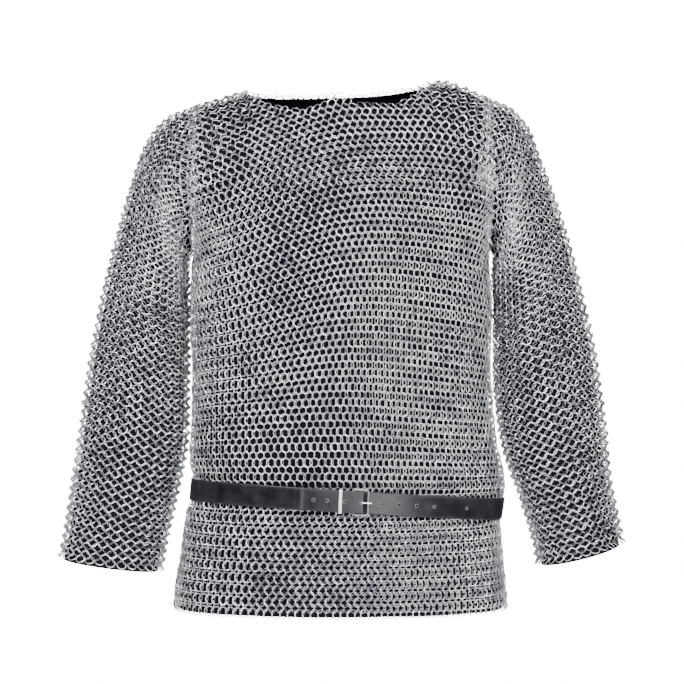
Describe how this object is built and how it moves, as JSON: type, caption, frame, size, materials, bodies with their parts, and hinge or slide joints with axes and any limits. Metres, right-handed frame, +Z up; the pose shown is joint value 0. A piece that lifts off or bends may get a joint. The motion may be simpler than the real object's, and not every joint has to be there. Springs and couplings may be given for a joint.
{
  "type": "chainmail hauberk",
  "caption": "Long-sleeved mail shirt in its worn, hollow shape, with a wide low neck, open cuffs and hem, and a narrow leather belt buckled at the waist.",
  "frame": {"origin": "middle of the shoulders at neck height, where the wearer carries the shirt", "axes": "+X to the wearer's left, along the greatest width from cuff to cuff; +Y to the back, along the depth; +Z up; the front faces -Y"},
  "size_m": [0.7294, 0.2847, 0.6848],
  "materials": {
    "mail": "bright zinc-plated steel rings, slightly worn",
    "belt_leather": "semi-gloss black strap leather with fine grain",
    "buckle_metal": "nickel-plated, lightly scratched"
  },
  "bodies": {
    "root": {"mail_front": "mail", "mail_back": "mail", "sleeve_right": "mail", "sleeve_left": "mail", "belt_strap": "belt_leather", "buckle_frame": "buckle_metal", "buckle_prong": "buckle_metal", "belt_keeper": "buckle_metal"}
  },
  "joints": []
}
